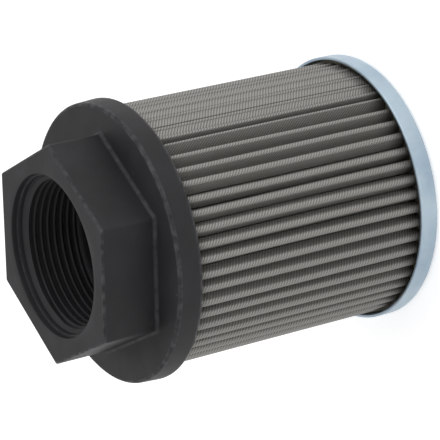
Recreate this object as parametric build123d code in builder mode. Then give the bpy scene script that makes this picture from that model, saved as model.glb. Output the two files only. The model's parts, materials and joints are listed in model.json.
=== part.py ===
from build123d import *
import math
import os

# Suction strainer for a hydraulic tank: a moulded head with a threaded port, a pleated wire
# mesh round a perforated core tube, and a pressed steel end cap. All lengths are millimetres.
# It stands on its end cap with the port upwards, and the origin is the centre of the cap's base.

# Threaded port, a one and a half inch parallel pipe thread
port_major_diameter = 47.803
port_pitch = 2.309
whitworth_depth_factor = 0.640327
port_thread_depth = 22.0
port_mouth_lead = 1.05
port_mouth_depth = 1.8
port_relief_lead = 0.3
port_relief_depth = 3.3
lead_in_slope = 0.73
port_shoulder_step = 1.4

# Moulded head
hex_across_flats = 60.5
hex_height = 18.1
hex_corner_radius = 1.0
hex_edge_chamfer = 0.6
hex_root_chamfer = 0.9
flange_lip = 2.15
flange_thickness = 7.9
flange_draft = 0.4
flange_edge_chamfer = 0.8
groove_depth = 4.5
groove_edge_gap = 0.6
collar_length = 6.0

# Pleated wire mesh
mesh_outer_diameter = 80.5
mesh_length = 82.0
mesh_thickness = 0.4
pleat_count = 54
pleat_tip_gap = 0.448
pleat_valley_radius = 0.35
pleat_phase = 3.7
outer_flat_count = 6
inner_flat_count = 3
valley_flats = 2

# Perforated core tube
core_outer_diameter = 56.0
core_wall = 0.8
core_to_mesh_gap = 0.2
core_to_collar_gap = 0.05
core_hole_side = 8.0
core_holes_around = 8
core_hole_rows = 4
core_hole_margin = 11.0

# Pressed end cap, and the resin that holds the pleats at both ends
cap_to_mesh_gap = 0.85
cap_height = 6.7
cap_wall = 1.0
cap_inner_corner_radius = 0.9
cap_corner_flats = 2
resin_below_cap_rim = 2.1
core_above_cap_floor = 1.0
mesh_into_groove = 0.6

# Worked out sizes, across the axis
port_major_radius = port_major_diameter / 2
port_minor_radius = port_major_radius - whitworth_depth_factor * port_pitch
port_mouth_radius = port_major_radius + port_mouth_lead
port_relief_radius = port_major_radius + port_relief_lead
passage_radius = port_minor_radius - port_shoulder_step
mesh_outer_radius = mesh_outer_diameter / 2
core_outer_radius = core_outer_diameter / 2
core_inner_radius = core_outer_radius - core_wall
collar_radius = core_inner_radius - core_to_collar_gap
mesh_inner_radius = core_outer_radius + core_to_mesh_gap
groove_outer_radius = mesh_outer_radius + groove_edge_gap
flange_radius = groove_outer_radius + flange_lip
flange_back_radius = flange_radius + flange_draft
cap_inner_radius = mesh_outer_radius + cap_to_mesh_gap
cap_radius = cap_inner_radius + cap_wall
cap_outer_corner_radius = cap_inner_corner_radius + cap_wall

# The pleats' round tips stand side by side with a narrow gap, so their number sets their size
half_pitch_sine = math.sin(math.radians(180 / pleat_count))
pleat_tip_radius = (mesh_outer_radius * half_pitch_sine - pleat_tip_gap / 2) / (1 + half_pitch_sine)

# Worked out sizes, along the axis
mesh_bottom = cap_height - resin_below_cap_rim
mesh_top = mesh_bottom + mesh_length
flange_back = mesh_top - mesh_into_groove
flange_face = flange_back + flange_thickness
head_top = flange_face + hex_height
groove_floor = flange_back + groove_depth
collar_end = flange_back - collar_length
thread_end = head_top - port_thread_depth
thread_start = head_top - port_relief_depth - (port_relief_radius - port_minor_radius) * lead_in_slope
core_bottom = cap_wall + core_above_cap_floor


def polar_point(radius, angle):
    """Point at a distance from the axis, at an angle in degrees."""
    return Vector(radius, 0, 0).rotate(Axis.Z, angle)


# The head's flange, potting groove and collar are turned from one profile.
with BuildPart() as threaded_head:
    with BuildSketch(Plane.XZ):
        with BuildLine():
            Polyline(
                (0, flange_face),
                (flange_radius, flange_face),
                (flange_back_radius, flange_back),
                (groove_outer_radius, flange_back),
                (groove_outer_radius, groove_floor),
                (collar_radius, groove_floor),
                (collar_radius, collar_end),
                (0, collar_end),
                close=True,
            )
        make_face()
    revolve(axis=Axis.Z)
    flange_rims = threaded_head.edges().filter_by(GeomType.CIRCLE).sort_by(SortBy.RADIUS)[-2:]
    chamfer(flange_rims, flange_edge_chamfer)

    # The hexagon for the spanner stands on the flange and blends into it.
    with BuildSketch(Plane.XY.offset(flange_face)) as hexagon:
        RegularPolygon(hex_across_flats / 2, 6, major_radius=False)
        fillet(hexagon.vertices(), hex_corner_radius)
    extrude(amount=hex_height)
    chamfer(threaded_head.faces().sort_by(Axis.Z)[-1].edges(), hex_edge_chamfer)
    face_edges = threaded_head.edges().filter_by_position(Axis.Z, flange_face, flange_face)
    chamfer(face_edges.sort_by(SortBy.LENGTH)[:-1], hex_root_chamfer)

    # The port's mouth is recessed in two steps, and a cone leads into the thread. The bore has
    # the thread's minor diameter and stops at a shoulder.
    with BuildSketch(Plane.XZ):
        with BuildLine():
            Polyline(
                (0, head_top),
                (port_mouth_radius, head_top),
                (port_mouth_radius, head_top - port_mouth_depth),
                (port_relief_radius, head_top - port_mouth_depth),
                (port_relief_radius, head_top - port_relief_depth),
                (port_minor_radius, thread_start),
                (port_minor_radius, thread_end),
                (passage_radius, thread_end),
                (passage_radius, collar_end),
                (0, collar_end),
                close=True,
            )
        make_face()
    revolve(axis=Axis.Z, mode=Mode.SUBTRACT)
threaded_head.part.label = "threaded_head"


def pleat_outline(tip_radius, tip_flats, valley_radius):
    """Closed run of flats that folds round one tip and one valley for each pleat."""
    step = 360 / pleat_count
    tip_centre = polar_point(mesh_outer_radius - pleat_tip_radius, 0)
    valley_centre = polar_point(mesh_inner_radius + pleat_valley_radius + mesh_thickness, step / 2)
    flank = tip_centre - valley_centre
    fold_angle = math.degrees(math.acos(-(tip_radius + valley_radius) / flank.length))
    flank_angle = math.degrees(math.atan2(flank.Y, flank.X)) + fold_angle
    valley_reach = flank_angle - step / 2
    corners = []
    for flat in range(tip_flats + 1):
        angle = flank_angle * (2 * flat / tip_flats - 1)
        corners.append(tip_centre + polar_point(tip_radius, angle))
    for flat in range(valley_flats + 1):
        angle = step / 2 + valley_reach * (1 - 2 * flat / valley_flats)
        corners.append(valley_centre - polar_point(valley_radius, angle))
    turns = [pleat_phase + pleat * step for pleat in range(pleat_count)]
    Polyline(*[corner.rotate(Axis.Z, turn) for turn in turns for corner in corners], close=True)


# The mesh is one sheet folded into pleats and closed into a ring.
with BuildPart() as pleated_mesh:
    with BuildSketch(Plane.XY.offset(mesh_bottom)):
        with BuildLine():
            pleat_outline(pleat_tip_radius, outer_flat_count, pleat_valley_radius)
        make_face()
        with BuildLine():
            pleat_outline(
                pleat_tip_radius - mesh_thickness,
                inner_flat_count,
                pleat_valley_radius + mesh_thickness,
            )
        make_face(mode=Mode.SUBTRACT)
    extrude(amount=mesh_length)
pleated_mesh.part.label = "pleated_mesh"


# The core tube slides over the head's collar and backs the pleats from inside.
with BuildPart() as core_tube:
    with BuildSketch(Plane.XY.offset(core_bottom)):
        Circle(core_outer_radius)
        Circle(core_inner_radius, mode=Mode.SUBTRACT)
    extrude(amount=groove_floor - core_bottom)
    lowest_row = mesh_bottom + core_hole_margin
    highest_row = collar_end - core_hole_margin
    row_spacing = (highest_row - lowest_row) / (core_hole_rows - 1)
    hole_step = 360 / core_holes_around
    for row in range(core_hole_rows):
        row_height = lowest_row + row * row_spacing
        row_turn = (row % 2) * hole_step / 2
        for column in range(core_holes_around):
            outwards = polar_point(1, row_turn + column * hole_step)
            with BuildSketch(Plane(origin=(0, 0, row_height), x_dir=(0, 0, 1), z_dir=outwards)):
                Rectangle(core_hole_side, core_hole_side)
    extrude(amount=core_outer_radius + core_wall, mode=Mode.SUBTRACT)
core_tube.part.label = "core_tube"


def pressed_corner(radius):
    """Corner of the cup's section, from its base up to its rim, bent in a few flats."""
    corner = []
    for flat in range(cap_corner_flats + 1):
        turn = math.radians(90 * flat / cap_corner_flats)
        across = cap_radius - radius * (1 - math.sin(turn))
        corner.append((across, radius * (1 - math.cos(turn))))
    return corner


# The end cap is a shallow cup pressed from sheet.
with BuildPart() as end_cap:
    with BuildSketch(Plane.XZ):
        with BuildLine():
            Polyline(
                (0, 0),
                *pressed_corner(cap_outer_corner_radius),
                (cap_radius, cap_height),
                (cap_inner_radius, cap_height),
                (cap_inner_radius, cap_wall),
                (0, cap_wall),
                close=True,
            )
        make_face()
    revolve(axis=Axis.Z)
    inner_corner = end_cap.edges().filter_by_position(Axis.Z, cap_wall, cap_wall)
    chamfer(inner_corner, cap_inner_corner_radius)
end_cap.part.label = "end_cap"


# Resin fills the cup up to the pleats, and the core tube stands in it.
with BuildPart() as cap_potting:
    with BuildSketch(Plane.XY.offset(cap_wall)):
        Circle(cap_inner_radius)
    extrude(amount=mesh_bottom - cap_wall)
    chamfer(cap_potting.edges().group_by(Axis.Z)[0], cap_inner_corner_radius)
    with BuildSketch(Plane.XY.offset(core_bottom)):
        Circle(core_outer_radius)
        Circle(core_inner_radius, mode=Mode.SUBTRACT)
    extrude(amount=mesh_bottom - core_bottom, mode=Mode.SUBTRACT)
cap_potting.part.label = "cap_potting"


# Resin fills the head's groove between the core tube and the flange's lip.
with BuildPart() as head_potting:
    with BuildSketch(Plane.XY.offset(mesh_top)):
        Circle(groove_outer_radius)
        Circle(core_outer_radius, mode=Mode.SUBTRACT)
    extrude(amount=groove_floor - mesh_top)
head_potting.part.label = "head_potting"


os.makedirs("parts", exist_ok=True)
export_step(threaded_head.part, "parts/threaded_head.step")
export_step(pleated_mesh.part, "parts/pleated_mesh.step")
export_step(core_tube.part, "parts/core_tube.step")
export_step(end_cap.part, "parts/end_cap.step")
export_step(cap_potting.part, "parts/cap_potting.step")
export_step(head_potting.part, "parts/head_potting.step")

print("overall height", round(head_top, 2), "and width", round(2 * flange_radius, 2))
print("port minor radius", round(port_minor_radius, 4))
print("threaded wall from", round(thread_end, 4), "to", round(thread_start, 4))
print("inside of core from", round(mesh_bottom, 3), "to", round(collar_end, 3))
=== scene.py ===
# %% [markdown]
# # A suction strainer for a hydraulic tank
# The strainer has a black moulded head with a pipe thread, a ring of pleated wire cloth and
# a pressed steel end cap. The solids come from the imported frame, in metres, standing on the
# cap with the port upwards. Everything below is measured from them.

# %% Load the frame
import bpy
import json
import math
import numpy as np
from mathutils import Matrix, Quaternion, Vector


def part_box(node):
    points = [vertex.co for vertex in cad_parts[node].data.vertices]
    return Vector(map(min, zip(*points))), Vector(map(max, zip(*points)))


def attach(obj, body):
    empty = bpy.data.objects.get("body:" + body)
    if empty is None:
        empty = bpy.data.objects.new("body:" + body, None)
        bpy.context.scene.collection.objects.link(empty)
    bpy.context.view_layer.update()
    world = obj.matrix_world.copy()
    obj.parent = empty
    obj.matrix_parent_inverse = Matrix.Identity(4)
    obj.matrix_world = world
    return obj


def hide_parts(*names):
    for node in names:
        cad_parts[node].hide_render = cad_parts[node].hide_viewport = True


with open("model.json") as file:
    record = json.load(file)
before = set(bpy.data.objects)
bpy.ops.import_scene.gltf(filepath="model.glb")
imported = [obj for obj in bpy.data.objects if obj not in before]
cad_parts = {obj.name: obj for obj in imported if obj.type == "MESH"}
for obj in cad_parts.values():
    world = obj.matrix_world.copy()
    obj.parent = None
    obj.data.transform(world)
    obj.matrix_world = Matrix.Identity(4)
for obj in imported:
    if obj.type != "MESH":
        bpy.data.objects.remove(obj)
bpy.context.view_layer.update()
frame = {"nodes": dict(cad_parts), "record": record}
print("solids:", sorted(frame["nodes"]))

# %% [markdown]
# Sizes that the new pieces share with the solids are read from the solids' own boxes. What a
# box can't tell, such as the section of the thread, is named here as a real size.

# %% Read the sizes
MM = 0.001
head_low, head_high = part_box("threaded_head")
mesh_low, mesh_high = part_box("pleated_mesh")
cap_low, cap_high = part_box("end_cap")
resin_low, resin_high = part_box("cap_potting")
groove_low, groove_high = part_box("head_potting")
port = next(mount for mount in frame["record"]["mounts"] if mount["name"] == "port")
minor_radius = port["dims"]["r_mm"] * MM
thread_start = port["pos_m"][2]
thread_end = thread_start - port["dims"]["length_mm"] * MM
print("mesh from", round(mesh_low.z, 4), "to", round(mesh_high.z, 4))

# %% [markdown]
# The camera looks at the middle of the strainer from above and from the port's side. A long
# lens keeps the sides almost parallel. The picture lies on its side, so the camera is rolled
# about its own line of sight after it has been aimed.

# %% Place the camera
aim = Vector((-0.00085, -0.00038, 0.05295))
view_azimuth = math.radians(-66.28)
view_elevation = math.radians(30.06)
view_distance = 0.7817
view_roll = math.radians(-103.26)
sensor_width = 36.0
focal_pixels = 2537.0
picture_width = 440.0

flat_reach = math.cos(view_elevation)
towards_camera = Vector((
    flat_reach * math.cos(view_azimuth),
    flat_reach * math.sin(view_azimuth),
    math.sin(view_elevation),
))
camera_data = bpy.data.cameras.new("camera")
camera_data.sensor_width = sensor_width
camera_data.lens = focal_pixels / picture_width * sensor_width
camera = bpy.data.objects.new("camera", camera_data)
bpy.context.scene.collection.objects.link(camera)
camera.location = aim + view_distance * towards_camera
aimed = (-towards_camera).to_track_quat("-Z", "Y")
camera.rotation_mode = "QUATERNION"
camera.rotation_quaternion = aimed @ Quaternion((0, 0, 1), view_roll)
bpy.context.scene.camera = camera
bpy.context.view_layer.update()
picture_right = camera.matrix_world.to_3x3() @ Vector((1, 0, 0))
picture_up = camera.matrix_world.to_3x3() @ Vector((0, 1, 0))
print("lens", round(camera_data.lens, 1), "mm")

# %% [markdown]
# Shader sums are easier to read as sums than as nodes. This class holds one socket, and each
# operator adds the Math node that does it. Other nodes come from one method, which sets the
# node's own settings first and then feeds its sockets.

# %% Socket arithmetic
class Flow:
    """One output socket of a material, with the arithmetic that values need."""

    def __init__(self, tree, socket):
        self.tree = tree
        self.socket = socket

    def math(self, operation, *values, clamp=False):
        node = self.tree.nodes.new("ShaderNodeMath")
        node.operation = operation
        node.use_clamp = clamp
        for place, value in enumerate(values):
            plug(self.tree, node.inputs[place], value)
        return Flow(self.tree, node.outputs[0])

    def __add__(self, other):
        return self.math("ADD", self, other)

    def __radd__(self, other):
        return self.math("ADD", other, self)

    def __sub__(self, other):
        return self.math("SUBTRACT", self, other)

    def __rsub__(self, other):
        return self.math("SUBTRACT", other, self)

    def __mul__(self, other):
        return self.math("MULTIPLY", self, other)

    def __rmul__(self, other):
        return self.math("MULTIPLY", other, self)

    def __truediv__(self, other):
        return self.math("DIVIDE", self, other)

    def clamped(self):
        return self.math("ADD", self, 0.0, clamp=True)


def plug(tree, socket, value):
    """A link where the value is a socket, and the number itself where it isn't."""
    if isinstance(value, Flow):
        tree.links.new(value.socket, socket)
    elif socket.type == "RGBA" and len(value) == 3:
        socket.default_value = (*value, 1.0)
    else:
        socket.default_value = value


class Finish:
    """A material with its Principled shader, and one method that adds any other node."""

    def __init__(self, name, **fixed):
        self.material = bpy.data.materials.new(name)
        self.material.use_nodes = True
        self.tree = self.material.node_tree
        self.tree.nodes.clear()
        self.shader = self.tree.nodes.new("ShaderNodeBsdfPrincipled")
        output = self.tree.nodes.new("ShaderNodeOutputMaterial")
        self.tree.links.new(self.shader.outputs[0], output.inputs["Surface"])
        for socket_name, value in fixed.items():
            plug(self.tree, self.shader.inputs[socket_name.replace("_", " ")], value)

    def node(self, kind, outlet=0, settings=None, **inputs):
        node = self.tree.nodes.new("ShaderNode" + kind)
        for name, value in (settings or {}).items():
            setattr(node, name, value)
        for name, value in inputs.items():
            plug(self.tree, node.inputs[name.replace("_", " ")], value)
        return Flow(self.tree, node.outputs[outlet])

    def place(self):
        return self.node("TexCoord", "Object")

    def noise(self, scale, detail=3.0, roughness=0.5, where=None):
        return self.node(
            "TexNoise", Vector=where or self.place(), Scale=scale, Detail=detail, Roughness=roughness
        )

    def attribute(self, name):
        return self.node("Attribute", "Fac", {"attribute_name": name})

    def between(self, factor, first, second):
        """A colour between two colours."""
        node = self.tree.nodes.new("ShaderNodeMix")
        node.data_type = "RGBA"
        plug(self.tree, node.inputs[0], factor)
        plug(self.tree, node.inputs[6], first)
        plug(self.tree, node.inputs[7], second)
        return Flow(self.tree, node.outputs[2])

    def ramp(self, value, low, high):
        """0 below low, 1 above high, and even in between."""
        node = self.tree.nodes.new("ShaderNodeMapRange")
        node.clamp = True
        plug(self.tree, node.inputs["Value"], value)
        node.inputs["From Min"].default_value = low
        node.inputs["From Max"].default_value = high
        return Flow(self.tree, node.outputs[0])

    def bump(self, height, depth, strength=1.0, under=None):
        values = {"Height": height, "Distance": depth, "Strength": strength}
        if under is not None:
            values["Normal"] = under
        return self.node("Bump", **values)

    def feed(self, **inputs):
        for name, value in inputs.items():
            plug(self.tree, self.shader.inputs[name.replace("_", " ")], value)


# %% [markdown]
# The head is moulded from nylon with glass fibre in it: charcoal, matt, with a very fine grain,
# faint flow marks, pale lines on its edges and a few specks of dust. The pale edge lines are
# partly handling wear and partly a painted highlight along the rounded edges and fillets. They
# follow an attribute that the head's mesh carries, because only the mesh knows where its edges are.

# %% Moulded plastic
def moulded_plastic():
    finish = Finish("head_plastic", Specular_IOR_Level=0.3)
    flow_marks = finish.ramp(finish.noise(45.0, 4.0, 0.6), 0.38, 0.72)
    scuffs = finish.ramp(finish.noise(150.0, 6.0, 0.7), 0.6, 0.8)
    # Pale edge marks from the head's attribute: partly handling wear, partly painted highlight along the
    # rounded edges.
    worn_and_edge_highlight = finish.attribute("edge") * finish.ramp(finish.noise(420.0, 4.0), 0.38, 0.66)
    specks = finish.node("TexVoronoi", "Distance", Vector=finish.place(), Scale=330.0)
    dust = finish.ramp(specks, 0.07, 0.04) * finish.ramp(finish.noise(90.0, 2.0), 0.6, 0.66)
    dark = (0.0125, 0.0125, 0.014)
    grey = (0.021, 0.021, 0.0235)
    # This pale grey serves the scuffs and the edge marks, so along the edges it is partly painted
    # highlight.
    rubbed_and_highlight = (0.07, 0.07, 0.076)
    colour = finish.between(flow_marks, dark, grey)
    colour = finish.between(worn_and_edge_highlight * 0.6, colour, rubbed_and_highlight)
    colour = finish.between(scuffs * 0.14, colour, rubbed_and_highlight)
    colour = finish.between(dust * 0.6, colour, (0.16, 0.16, 0.165))
    grain = finish.noise(2600.0, 2.0) * 0.6 + finish.noise(700.0, 3.0) * 0.4
    finish.feed(
        Base_Color=colour,
        Roughness=0.5 + 0.18 * finish.noise(120.0, 4.0) - 0.06 * worn_and_edge_highlight,
        Normal=finish.bump(grain, 0.00012, 0.35),
    )
    return finish.material

# %% [markdown]
# The cloth is woven from stainless wire in a twill, so its wires show as slanted ribs less
# than a millimetre apart. The pattern is worked out on the cloth laid flat: the mesh's UV map
# holds metres along the folds and metres along the strainer.

# %% Wire cloth
rib_pitch = 1.02 * MM
rib_slant = 0.68
wire_pitch = 0.55 * MM


def wire_cloth():
    finish = Finish("wire_mesh", Specular_IOR_Level=0.5)
    flat = finish.node("UVMap", 0, {"uv_map": "cloth"})
    split = finish.node("SeparateXYZ", 0, Vector=flat)
    along_fold = split
    along_axis = Flow(finish.tree, split.socket.node.outputs[1])
    wander = (finish.noise(160.0, 2.0) - 0.5) * 0.5
    rib_phase = (along_axis + along_fold * rib_slant) / rib_pitch + wander
    ribs = finish.node("Math", 0, {"operation": "SINE"}, **{"Value": rib_phase * math.tau})
    cross_phase = along_fold / wire_pitch + wander
    wires = finish.node("Math", 0, {"operation": "SINE"}, **{"Value": cross_phase * math.tau})
    weave = (ribs * 0.5 + 0.5) * (0.72 + 0.28 * (wires * 0.5 + 0.5))
    patches = finish.ramp(finish.noise(38.0, 4.0, 0.6), 0.3, 0.75)
    # The weave's dark gaps between the wires are painted shade for the openings in the cloth.
    gap_shade = (0.15, 0.148, 0.14)
    wire = (0.36, 0.355, 0.335)
    warm = (0.36, 0.34, 0.315)
    colour = finish.between(weave, gap_shade, finish.between(patches, wire, warm))
    finish.feed(
        Base_Color=colour,
        Metallic=0.25 + 0.3 * weave,
        Roughness=0.6 - 0.12 * weave,
        Normal=finish.bump(weave, 0.0001, 0.6),
    )
    return finish.material

# %% [markdown]
# The cap is sheet steel with a pale blue zinc plating. The plating is cloudy at several sizes,
# and the press leaves fine lines round the wall.

# %% Zinc plating
def zinc_plating():
    finish = Finish("cap_zinc", Specular_IOR_Level=0.5)
    clouds = finish.ramp(finish.noise(45.0, 5.0, 0.6), 0.32, 0.7)
    spots = finish.ramp(finish.noise(260.0, 4.0, 0.65), 0.4, 0.72)
    stretched = finish.node(
        "Mapping", 0, Vector=finish.place(), Scale=(1.0, 1.0, 60.0)
    )
    press_lines = finish.noise(60.0, 3.0, 0.6, stretched)
    pale = (0.47, 0.57, 0.64)
    blue = (0.33, 0.43, 0.53)
    white = (0.55, 0.63, 0.67)
    colour = finish.between(clouds, blue, pale)
    colour = finish.between(spots * 0.35, colour, white)
    finish.feed(
        Base_Color=colour,
        Metallic=0.55 + 0.25 * clouds,
        Roughness=0.34 + 0.16 * spots,
        Normal=finish.bump(press_lines * 0.5 + spots * 0.5, 0.00006, 0.4),
    )
    return finish.material

# %% [markdown]
# The resin is a dull olive brown and a little uneven. The core tube is galvanised: grey, with
# the large crystals that hot zinc leaves.

# %% Resin and galvanised steel
def cast_resin():
    finish = Finish("resin", Specular_IOR_Level=0.45)
    mottle = finish.ramp(finish.noise(240.0, 4.0), 0.3, 0.7)
    colour = finish.between(mottle, (0.075, 0.07, 0.052), (0.15, 0.142, 0.11))
    finish.feed(
        Base_Color=colour,
        Roughness=0.45 + 0.2 * mottle,
        Normal=finish.bump(finish.noise(700.0, 3.0), 0.0002, 0.4),
    )
    return finish.material


def galvanised_steel():
    finish = Finish("core_steel")
    crystals = finish.node(
        "TexVoronoi", "Color", Vector=finish.place(), Scale=190.0
    )
    shade = finish.node("SeparateColor", 0, Color=crystals)
    colour = finish.between(shade, (0.36, 0.38, 0.40), (0.55, 0.57, 0.59))
    finish.feed(
        Base_Color=colour,
        Metallic=0.7 + 0.2 * shade,
        Roughness=0.3 + 0.2 * shade,
        Normal=finish.bump(finish.noise(500.0, 3.0), 0.00005, 0.3),
    )
    return finish.material


plastic = moulded_plastic()
cloth = wire_cloth()
zinc = zinc_plating()
resin = cast_resin()
galvanised = galvanised_steel()
print("finishes:", plastic.name, cloth.name, zinc.name, resin.name, galvanised.name)

# %% [markdown]
# The core tube and the resin behind the flange are right as they are, and hardly seen. They
# keep their solids and only get their finishes.

# %% Dress the hidden solids
def dress(piece, material):
    piece.data.materials.clear()
    piece.data.materials.append(material)


dress(frame["nodes"]["core_tube"], galvanised)
dress(frame["nodes"]["head_potting"], resin)

# %% [markdown]
# Two pieces here are skins rolled round the axis: the head and the cloth. Each starts as a flat
# grid, one row of points for each line of its section and one column for each direction. The
# points are put in place by a formula, and the edges that meet are merged.

# %% Roll a grid round the axis
def rolled_grid(name, places):
    """A grid whose point in a row and column goes to places[row, column]."""
    rows, columns = places.shape[:2]
    bpy.ops.object.select_all(action="DESELECT")
    bpy.ops.mesh.primitive_grid_add(x_subdivisions=columns - 1, y_subdivisions=rows - 1, size=1.0)
    piece = bpy.context.object
    piece.name = name
    piece.data.name = name
    piece.data.vertices.foreach_set("co", places.reshape(-1).astype(np.float32))
    piece.data.update()
    return piece


def merge_and_turn_out(piece, distance=1e-7):
    """Closes the seams, points the faces outwards and smooths all but the sharp edges."""
    bpy.ops.object.select_all(action="DESELECT")
    piece.select_set(True)
    bpy.context.view_layer.objects.active = piece
    bpy.ops.object.mode_set(mode="EDIT")
    bpy.ops.mesh.select_all(action="SELECT")
    bpy.ops.mesh.remove_doubles(threshold=distance)
    bpy.ops.mesh.normals_make_consistent(inside=False)
    bpy.ops.object.mode_set(mode="OBJECT")
    bpy.ops.object.shade_smooth_by_angle(angle=math.radians(40))


def finished(piece, material, slot_name, *nodes):
    """Gives a piece its finish and its body, and hides the solid that it stands for."""
    dress(piece, material)
    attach(piece, "root")
    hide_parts(*nodes)
    print(piece.name, len(piece.data.polygons), "faces")

# %% [markdown]
# ## The moulded head
# One skin runs from the passage up the threaded port, over the hexagon, down to the flange and
# back along the groove and the collar. A row of it is round or hexagonal. The hexagon's corners
# and edges are rounded, as a mould leaves them, and so is its root on the flange.

# %% Section of the head
flange_thickness = 7.9 * MM
groove_depth = 4.5 * MM
hex_half_width = 30.25 * MM
hex_corner = 1.0 * MM
hex_edge = 0.6 * MM
hex_root = 1.1 * MM
flange_radius = 43.0 * MM
flange_draft = 0.4 * MM
flange_edge = 0.9 * MM
mouth_radius = 24.95 * MM
mouth_depth = 1.8 * MM
relief_radius = 24.2 * MM
relief_depth = 3.3 * MM
shoulder_step = 1.4 * MM
collar_radius = 27.15 * MM
groove_radius = groove_high.x
head_top = head_high.z
flange_back = groove_high.z - groove_depth
flange_face = flange_back + flange_thickness
thread_pitch = 2.309 * MM
thread_depth = 0.640327 * thread_pitch
thread_phase = 0.174
thread_rows = 124
head_columns = 240
# EDGE rows carry the full pale edge mark, partly wear and partly painted highlight; PLAIN rows carry none.
EDGE, PLAIN = 1.0, 0.0


def quarter(steps):
    """Angles of a quarter turn, without its first and last."""
    return [math.pi / 2 * step / steps for step in range(1, steps)]


def head_section():
    """Rows of the head: how hexagonal, radius or inset from the flats, height, edge mark of wear and
    painted highlight.
    """
    rows = [(0, minor_radius - shoulder_step, head_low.z, PLAIN)]
    rows.append((0, minor_radius - shoulder_step, thread_end, PLAIN))
    rows.append((0, minor_radius, thread_end + 0.05 * MM, PLAIN))
    for step in range(1, thread_rows + 1):
        height = thread_end + (thread_start - thread_end) * step / thread_rows
        rows.append((0, minor_radius, height, PLAIN))
    relief_top = head_top - mouth_depth
    relief_end = head_top - relief_depth
    for share in (0.15, 0.3, 0.45, 0.6, 0.75, 0.9, 1.0):
        radius = minor_radius + share * (relief_radius - minor_radius)
        rows.append((0, radius, thread_start + share * (relief_end - thread_start), PLAIN))
    rows.append((0, relief_radius, relief_end + 0.1 * MM, PLAIN))
    rows.append((0, relief_radius, relief_top - 0.15 * MM, PLAIN))
    rows.append((0, relief_radius + 0.1 * MM, relief_top, EDGE))
    rows.append((0, mouth_radius - 0.1 * MM, relief_top, PLAIN))
    rows.append((0, mouth_radius, relief_top + 0.1 * MM, PLAIN))
    rows.append((0, mouth_radius, head_top - 0.3 * MM, PLAIN))
    rows.append((0, mouth_radius + 0.08 * MM, head_top - 0.09 * MM, PLAIN))
    rows.append((0, mouth_radius + 0.3 * MM, head_top, PLAIN))
    for share in (0.35, 0.7):
        rows.append((share, 0, head_top, PLAIN))
    rows.append((1, hex_edge + 0.1 * MM, head_top, PLAIN))
    rows.append((1, hex_edge, head_top, EDGE))
    for turn in quarter(5):
        inset = hex_edge * (1 - math.sin(turn))
        rows.append((1, inset, head_top - hex_edge * (1 - math.cos(turn)), EDGE))
    rows.append((1, 0, head_top - hex_edge, EDGE))
    rows.append((1, 0, head_top - 1.5 * hex_edge, PLAIN))
    rows.append((1, 0, flange_face + 1.2 * hex_root, PLAIN))
    rows.append((1, 0, flange_face + hex_root, PLAIN))
    # The root fillet gets a weaker pale mark: painted highlight along the fillet, with a little wear.
    for turn in quarter(5):
        inset = -hex_root * (1 - math.cos(turn))
        rows.append((1, inset, flange_face + hex_root * (1 - math.sin(turn)), 0.6))
    rows.append((1, -hex_root, flange_face, PLAIN))
    for share in (0.7, 0.35):
        rows.append((share, -1, flange_face, PLAIN))
    rows.append((0, flange_radius - flange_edge - 0.2 * MM, flange_face, PLAIN))
    rows.append((0, flange_radius - flange_edge, flange_face, EDGE))
    for turn in quarter(5):
        radius = flange_radius - flange_edge * (1 - math.sin(turn))
        rows.append((0, radius, flange_face - flange_edge * (1 - math.cos(turn)), EDGE))
    rows.append((0, flange_radius, flange_face - flange_edge, EDGE))
    rows.append((0, flange_radius + 0.03 * MM, flange_face - 1.4 * flange_edge, PLAIN))
    back_radius = flange_radius + flange_draft - 0.04 * MM
    rows.append((0, back_radius, flange_back + 1.3 * flange_edge, PLAIN))
    rows.append((0, back_radius, flange_back + flange_edge, EDGE))
    for turn in quarter(5):
        radius = back_radius - flange_edge * (1 - math.cos(turn))
        rows.append((0, radius, flange_back + flange_edge * (1 - math.sin(turn)), EDGE))
    rows.append((0, back_radius - flange_edge, flange_back, EDGE))
    rows.append((0, groove_radius, flange_back, PLAIN))
    rows.append((0, groove_radius, groove_high.z, PLAIN))
    rows.append((0, collar_radius, groove_high.z, PLAIN))
    rows.append((0, collar_radius, head_low.z, PLAIN))
    rows.append((0, minor_radius - shoulder_step, head_low.z, PLAIN))
    return rows


section = head_section()
print("the head's skin has", len(section), "rows")

# %% [markdown]
# The thread is cut into the bore wall: each point moves outwards by the depth that the thread
# has there. The depth repeats once a pitch along the axis and once a turn around it, which
# makes a right hand helix. It starts out of nothing in the mouth's chamfer.

# %% Thread and hexagon as formulas
def thread_cut(angle, height):
    """Depth of the thread's groove, 0 on a crest, with rounded crests and roots."""
    turns = (height - head_top) / thread_pitch - angle / math.tau + thread_phase
    swing = np.cos(math.tau * (turns % 1.0))
    rounded = swing / np.sqrt(swing**2 + 0.35 * (1 - swing**2))
    run_out = np.clip((height - thread_end) / thread_pitch, 0.0, 1.0)
    return thread_depth * (0.5 - 0.5 * rounded) * run_out


def hex_reach(angle, inset):
    """Distance from the axis to a rounded hexagon with a corner at angle 0."""
    half_width = hex_half_width - inset
    corner = max(hex_corner - inset, 0.2 * MM)
    from_corner = (angle + math.pi / 6) % (math.pi / 3) - math.pi / 6
    from_flat = math.pi / 6 - np.abs(from_corner)
    flat = half_width / np.cos(from_flat)
    centre = (half_width - corner) / math.cos(math.pi / 6)
    across = centre * np.sin(from_corner)
    arc = centre * np.cos(from_corner) + np.sqrt(np.maximum(corner**2 - across**2, 0.0))
    arc_end = math.atan2(corner * 0.5, centre + corner * math.cos(math.pi / 6))
    return np.where(np.abs(from_corner) < arc_end, arc, flat)


relief_end_height = head_top - relief_depth


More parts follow.
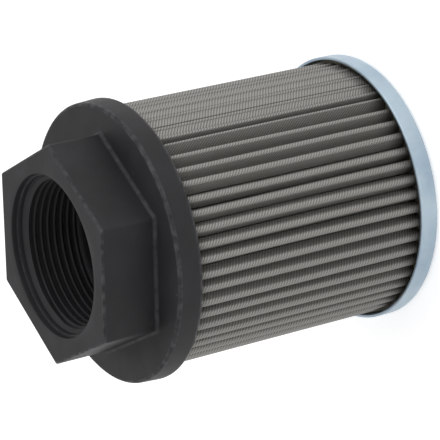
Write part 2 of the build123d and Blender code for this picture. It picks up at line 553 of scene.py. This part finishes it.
def head_places():
    """Where each point of the head's grid goes, row by row."""
    even = np.linspace(0.0, math.tau, head_columns + 1)
    crowding = 0.8 / 6
    angle = even - crowding * np.sin(6 * even)
    places = np.zeros((len(section), head_columns + 1, 3))
    face_hex = hex_reach(angle, hex_edge)
    root_hex = hex_reach(angle, -hex_root)
    for row, (share, size, height, _) in enumerate(section):
        if share == 1:
            reach = hex_reach(angle, size)
        elif share > 0 and size == 0:
            reach = (1 - share) * mouth_radius + share * face_hex
        elif share > 0:
            reach = (1 - share) * (flange_radius - flange_edge) + share * root_hex
        else:
            reach = np.full_like(angle, size)
            if thread_end < height < relief_end_height and minor_radius <= size < relief_radius:
                cut = minor_radius + thread_cut(angle, height)
                reach = np.maximum(reach, cut)
        places[row, :, 0] = reach * np.cos(angle)
        places[row, :, 1] = reach * np.sin(angle)
        places[row, :, 2] = height
    return places

# %% [markdown]
# The edge attribute, for wear and painted highlight, is written while the grid still has its
# rows, because merging renumbers the points. The attribute stays with each point through the merge.

# %% Make the head
head = rolled_grid("head_moulding", head_places())
wear_and_highlight = head.data.attributes.new("edge", "FLOAT", "POINT")
wear_and_highlight.data.foreach_set("value", np.repeat([row[3] for row in section], head_columns + 1))
merge_and_turn_out(head)
finished(head, plastic, "head_plastic", "threaded_head")

# %% [markdown]
# ## The pleated cloth
# The cloth is one long strip folded into pleats. Most of them have round tips, and their flanks
# belly out below until they almost touch, which makes a notch between two tips. Towards the seam,
# where the strip's ends meet, the pleats are pinched narrow. Just beyond it they lie over, and
# only a shallow crease is left between them. The tables give these sizes by the angle from the seam.

# %% Shape of each pleat
pleat_count = 54
pleat_step = math.tau / pleat_count
cloth_thickness = 0.3 * MM
pleat_phase = math.radians(3.7)
seam_azimuth = math.radians(-29.6)
outer_radius = mesh_high.y
valley_reach = 28.25 * MM + cloth_thickness
uneven = np.random.default_rng(7)

regular_angle = pleat_phase + pleat_step * np.arange(pleat_count)
from_seam = np.degrees((regular_angle - seam_azimuth + math.pi) % math.tau - math.pi)


def by_seam(angles, values):
    """A size for each pleat, even in between the angles of the table."""
    return np.interp(from_seam, angles, values)


tip_radius = by_seam((-30, -20, -13, -7, 0, 7, 34, 45), (1.15, 1.05, 0.9, 0.72, 0.42, 0.55, 0.7, 1.15)) * MM
lean = by_seam((0, 7, 13, 20, 27, 34), (0.0, -2.6, -3.0, -2.4, -0.8, 0.0))
notch_depth = by_seam((-20, -7, 0, 7, 13, 20, 34, 50), (3.8, 5.2, 4.5, 1.1, 0.9, 0.9, 1.5, 3.8)) * MM
notch_place = by_seam((0, 7, 27, 50), (0.45, 0.24, 0.3, 0.5))
ridge_angle = regular_angle + np.radians(lean) + uneven.normal(0.0, 0.0035, pleat_count)
ridge_spacing = (np.roll(ridge_angle, -1) - ridge_angle) % math.tau
notch_angle = ridge_angle + notch_place * ridge_spacing
reach_loss = np.abs(uneven.normal(0.0, 0.12, pleat_count)) * MM
valley_angle = regular_angle + pleat_step / 2 + uneven.normal(0.0, 0.003, pleat_count)
wobble_phase = uneven.uniform(0.0, math.tau, pleat_count)
cloth_rows = 13
tip_steps = 5
print("narrowest tip", round(tip_radius.min() / MM, 2), "mm, widest", round(tip_radius.max() / MM, 2))

# %% [markdown]
# One side of a pleat goes from its tip over the round part to the notch, past the place where it
# almost touches its neighbour and on to the valley. A row of the cloth is all these sides in
# turn, and its corners are cut off once, which rounds the bends.

# %% One row of the cloth
def from_axis(reach, angle):
    return (reach * math.cos(angle), reach * math.sin(angle))


def pleat_side(pleat, side, sway):
    """Points from the valley's middle up to just before the tip, on one side of a pleat."""
    notch = pleat if side > 0 else pleat - 1
    tip = tip_radius[pleat]
    centre = outer_radius - reach_loss[pleat] - tip
    line = [
        (valley_reach, valley_angle[notch]),
        (valley_reach + 0.3 * MM, valley_angle[notch] - side * 0.35 * MM / valley_reach),
    ]
    floor = outer_radius - notch_depth[notch]
    for outwards_mm, half_gap_mm in ((-2.5, 0.3), (-0.9, 0.1), (-0.15, 0.14), (0.2, 0.4)):
        reach = floor + outwards_mm * MM
        line.append((reach, notch_angle[notch] - side * half_gap_mm * MM / reach + sway))
    for step in range(tip_steps, 0, -1):
        turn = math.radians(84) * step / tip_steps
        reach = centre + tip * math.cos(turn)
        line.append((reach, ridge_angle[pleat] + side * tip * math.sin(turn) / reach + sway))
    return line


def cloth_row(share):
    """The folded line of the cloth at a share of its height, as points round the axis."""
    line = []
    for pleat in range(pleat_count):
        sway = 0.002 * math.sin(wobble_phase[pleat] + 5.0 * share)
        line += pleat_side(pleat, -1, sway)
        line.append((outer_radius - reach_loss[pleat], ridge_angle[pleat] + sway))
        line += pleat_side(pleat, 1, sway)[:0:-1]
    points = np.array([from_axis(*place) for place in line])
    following = np.roll(points, -1, axis=0)
    cut = np.empty((2 * len(points), 2))
    cut[0::2] = 0.75 * points + 0.25 * following
    cut[1::2] = 0.25 * points + 0.75 * following
    return np.concatenate([cut, cut[:1]])

# %% [markdown]
# The grid's columns follow the folded line and its rows climb from the resin to the flange.
# The UV map is written in metres before the seam is closed. Solidify gives the cloth its
# thickness on the inner side.

# %% Fold the cloth
def cloth_places():
    shares = np.linspace(0.0, 1.0, cloth_rows)
    lines = np.array([cloth_row(share) for share in shares])
    heights = mesh_low.z + shares * (mesh_high.z - mesh_low.z)
    return np.dstack([lines, np.broadcast_to(heights[:, None], lines.shape[:2])])


places = cloth_places()
pleats = rolled_grid("pleated_cloth", places)
strides = np.linalg.norm(np.diff(places[0, :, :2], axis=0), axis=1)
along_cloth = np.concatenate([[0.0], np.cumsum(strides)])
flat_places = np.stack([np.tile(along_cloth, cloth_rows), places[:, :, 2].reshape(-1)], 1)
corner_points = np.zeros(len(pleats.data.loops), int)
pleats.data.loops.foreach_get("vertex_index", corner_points)
flat_map = pleats.data.uv_layers[0]
flat_map.name = "cloth"
flat_map.data.foreach_set("uv", flat_places[corner_points].reshape(-1).astype(np.float32))
merge_and_turn_out(pleats)
wall = pleats.modifiers.new("cloth thickness", "SOLIDIFY")
wall.thickness = cloth_thickness
wall.offset = -1.0
bpy.ops.object.modifier_apply(modifier=wall.name)
finished(pleats, cloth, "wire_mesh", "pleated_mesh")
print("the cloth is", round(along_cloth[-1], 3), "m long before it is folded")

# %% [markdown]
# ## The end cap
# The cap is a cup pressed from one millimetre sheet. It starts as a cylinder with its ends
# filled. The top is inset by the thickness of the sheet and pushed down to the floor, and the
# bends are bevelled, wide outside and tighter inside.

# %% Select by place
def edit_only(piece, kind):
    """Edit mode on one piece, with nothing selected."""
    bpy.ops.object.select_all(action="DESELECT")
    piece.select_set(True)
    bpy.context.view_layer.objects.active = piece
    bpy.ops.object.mode_set(mode="EDIT")
    bpy.ops.mesh.select_mode(type=kind)
    bpy.ops.mesh.select_all(action="DESELECT")
    bpy.ops.object.mode_set(mode="OBJECT")


def select_ring(piece, radius, height, slack=0.05 * MM):
    """Selects the edges of one round edge of a turned piece."""
    edit_only(piece, "EDGE")
    found = 0
    for edge in piece.data.edges:
        ends = [piece.data.vertices[index].co for index in edge.vertices]
        near = [
            abs(end.z - height) < slack and abs(math.hypot(end.x, end.y) - radius) < slack
            for end in ends
        ]
        edge.select = all(near)
        found += all(near)
    bpy.ops.object.mode_set(mode="EDIT")
    return found

# %% Press the cap
cap_wall = 1.0 * MM
cap_corner = 1.9 * MM
cap_inner_corner = 0.9 * MM
cap_lip = 0.28 * MM
cap_radius = cap_high.x
cap_columns = 224

bpy.ops.object.select_all(action="DESELECT")
bpy.ops.mesh.primitive_cylinder_add(
    vertices=cap_columns, radius=cap_radius, depth=cap_high.z, location=(0, 0, cap_high.z / 2)
)
cap = bpy.context.object
cap.name = "cap_cup"
cap.data.name = "cap_cup"
bpy.ops.object.transform_apply(location=True, rotation=False, scale=False)
edit_only(cap, "FACE")
for face in cap.data.polygons:
    face.select = face.normal.z > 0.9
bpy.ops.object.mode_set(mode="EDIT")
bpy.ops.mesh.inset(thickness=cap_wall, depth=0.0)
bpy.ops.mesh.extrude_region_move(
    TRANSFORM_OT_translate={"value": (0, 0, cap_wall - cap_high.z)}
)
bpy.ops.object.mode_set(mode="OBJECT")
for radius, height, width, segments in (
    (cap_radius, 0.0, cap_corner, 7),
    (cap_radius - cap_wall, cap_wall, cap_inner_corner, 4),
    (cap_radius, cap_high.z, cap_lip, 3),
    (cap_radius - cap_wall, cap_high.z, cap_lip, 3),
):
    print(select_ring(cap, radius, height), "edges in this bend")
    bpy.ops.mesh.bevel(offset=width, segments=segments, affect="EDGES")
    bpy.ops.object.mode_set(mode="OBJECT")
bpy.ops.object.select_all(action="DESELECT")
cap.select_set(True)
bpy.context.view_layer.objects.active = cap
bpy.ops.object.shade_smooth_by_angle(angle=math.radians(40))
finished(cap, zinc, "cap_zinc", "end_cap")

# %% [markdown]
# ## The resin in the cap
# The resin was poured round the pleat ends, so it climbs them a little and sinks towards the
# rim. It is a disc whose upper side is drawn up in a soft ring under the cloth.

# %% Pour the resin
resin_radius = resin_high.x
resin_climb = 0.9 * MM
climb_width = 0.75 * MM


def resin_section():
    """Upper side of the resin from the cap's wall to the middle, then back along the floor."""
    outline = []
    for radius_mm in (41.1, 40.9, 40.7, 40.5, 40.35, 40.2, 40.0, 39.6, 39.0, 38.0, 36.0, 33.0, 30.0):
        radius = min(radius_mm * MM, resin_radius)
        height = resin_high.z - 0.35 * MM
        height += resin_climb * math.exp(-(((radius - mesh_high.y) / climb_width) ** 2))
        outline.append((radius, height))
    outline.append((0.4 * MM, resin_high.z - 0.1 * MM))
    outline.append((0.4 * MM, resin_low.z))
    outline.append((resin_radius - cap_inner_corner, resin_low.z))
    outline.append((resin_radius, resin_low.z + cap_inner_corner))
    outline.append(outline[0])
    return outline


outline = resin_section()
resin_columns = 324
angles = np.linspace(0.0, math.tau, resin_columns + 1)
places = np.zeros((len(outline), resin_columns + 1, 3))
for row, (radius, height) in enumerate(outline):
    ripple = 0.12 * MM * np.sin(pleat_count * angles) if 38 * MM < radius < 40.6 * MM else 0.0
    places[row, :, 0] = radius * np.cos(angles)
    places[row, :, 1] = radius * np.sin(angles)
    places[row, :, 2] = height + ripple
poured = rolled_grid("cap_resin", places)
merge_and_turn_out(poured)
finished(poured, resin, "resin", "cap_potting")

# %% [markdown]
# ## The studio
# The floor is pale, and the camera sees it as white. The lamps are large and soft: the main one
# is above in the picture, so the pleats' upper flanks are light and their lower ones dark.

# %% Floor
def pale_floor():
    bpy.ops.object.select_all(action="DESELECT")
    bpy.ops.mesh.primitive_plane_add(size=12.0, location=(0, 0, 0))
    floor = bpy.context.object
    floor.name = "floor"
    material = bpy.data.materials.new("floor")
    material.use_nodes = True
    tree = material.node_tree
    tree.nodes.clear()
    paint = tree.nodes.new("ShaderNodeBsdfDiffuse")
    paint.inputs["Color"].default_value = (0.8, 0.8, 0.8, 1.0)
    glow = tree.nodes.new("ShaderNodeEmission")
    glow.inputs["Color"].default_value = (1.0, 1.0, 1.0, 1.0)
    path = tree.nodes.new("ShaderNodeLightPath")
    seen = tree.nodes.new("ShaderNodeMath")
    seen.operation = "MAXIMUM"
    tree.links.new(path.outputs["Is Camera Ray"], seen.inputs[0])
    tree.links.new(path.outputs["Is Glossy Ray"], seen.inputs[1])
    level = tree.nodes.new("ShaderNodeMath")
    level.operation = "MULTIPLY"
    level.inputs[1].default_value = 0.45
    tree.links.new(seen.outputs[0], level.inputs[0])
    tree.links.new(level.outputs[0], glow.inputs["Strength"])
    both = tree.nodes.new("ShaderNodeAddShader")
    output = tree.nodes.new("ShaderNodeOutputMaterial")
    tree.links.new(paint.outputs[0], both.inputs[0])
    tree.links.new(glow.outputs[0], both.inputs[1])
    tree.links.new(both.outputs[0], output.inputs["Surface"])
    floor.data.materials.append(material)


pale_floor()

# %% Lamps and sky
def lamp(name, direction, distance, size, power):
    """A square soft lamp, that far from the strainer in a direction, facing it."""
    data = bpy.data.lights.new(name, "AREA")
    data.shape = "SQUARE"
    data.size = size
    data.energy = power
    light = bpy.data.objects.new(name, data)
    bpy.context.scene.collection.objects.link(light)
    line = direction.normalized()
    light.location = aim + line * distance
    light.rotation_mode = "QUATERNION"
    light.rotation_quaternion = (-line).to_track_quat("-Z", "Y")


lamp("upper_lamp", picture_up + 0.9 * towards_camera, 0.9, 0.8, 2.2)
lamp("port_lamp", -picture_right + 0.4 * towards_camera, 0.9, 0.6, 1.6)
world = bpy.data.worlds.new("studio")
bpy.context.scene.world = world
world.use_nodes = True
sky = world.node_tree.nodes["Background"]
sky.inputs["Color"].default_value = (1.0, 1.0, 1.0, 1.0)
sky.inputs["Strength"].default_value = 0.8
bpy.context.scene.view_settings.view_transform = "Standard"
